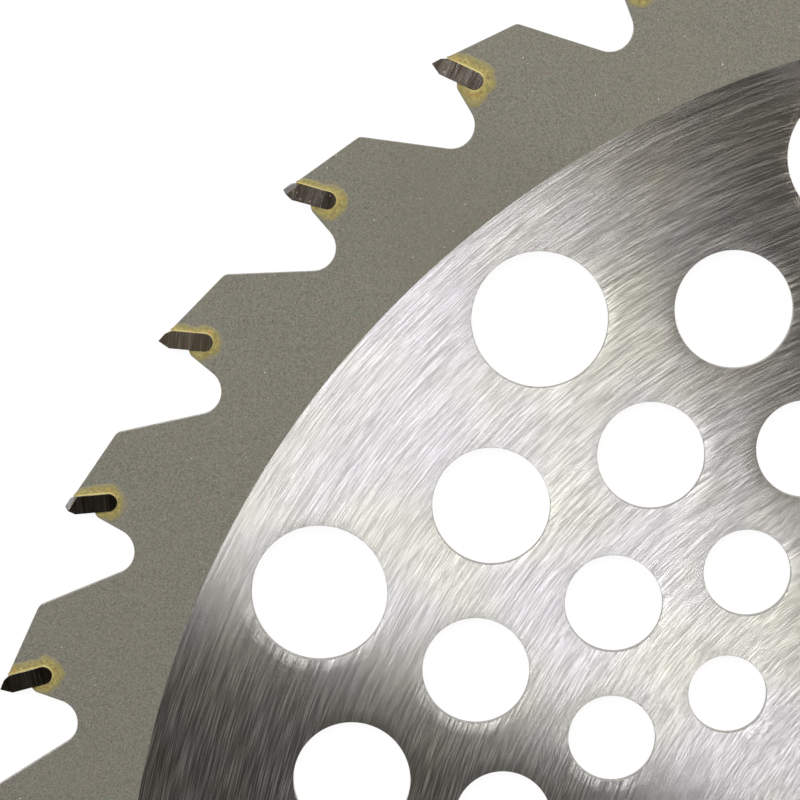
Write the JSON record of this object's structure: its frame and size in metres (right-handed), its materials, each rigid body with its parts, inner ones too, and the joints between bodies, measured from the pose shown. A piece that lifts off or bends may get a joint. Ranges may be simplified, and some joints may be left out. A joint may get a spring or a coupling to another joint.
{
  "type": "brush cutter blade",
  "caption": "Round carbide-tipped brush cutter saw blade: thin steel disc with a plain bore, rings of lightening holes, a brushed face and a dull toothed rim.",
  "frame": {"origin": "on the bore axis, in the plane that the tips' lower side faces touch", "axes": "+Z along the bore axis, up from that plane; +X through the cutting point of tip_01"},
  "size_m": [0.255, 0.255, 0.0022],
  "materials": {
    "saw_steel": "ground and brushed round the bore, dull olive grey at the rim",
    "carbide": "dark sintered carbide with fine grinding lines",
    "solder": "brass coloured solder, uneven, with bright spots and a heat stain"
  },
  "bodies": {
    "root": {"disc": "saw_steel", "braze_joints": "solder", "tip_01": "carbide", "tip_02": "carbide", "tip_03": "carbide", "tip_04": "carbide", "tip_05": "carbide", "tip_06": "carbide", "tip_07": "carbide", "tip_08": "carbide", "tip_09": "carbide", "tip_10": "carbide", "tip_11": "carbide", "tip_12": "carbide", "tip_13": "carbide", "tip_14": "carbide", "tip_15": "carbide", "tip_16": "carbide", "tip_17": "carbide", "tip_18": "carbide", "tip_19": "carbide", "tip_20": "carbide", "tip_21": "carbide", "tip_22": "carbide", "tip_23": "carbide", "tip_24": "carbide", "tip_25": "carbide", "tip_26": "carbide", "tip_27": "carbide", "tip_28": "carbide", "tip_29": "carbide", "tip_30": "carbide", "tip_31": "carbide", "tip_32": "carbide", "tip_33": "carbide", "tip_34": "carbide", "tip_35": "carbide", "tip_36": "carbide"}
  },
  "joints": []
}
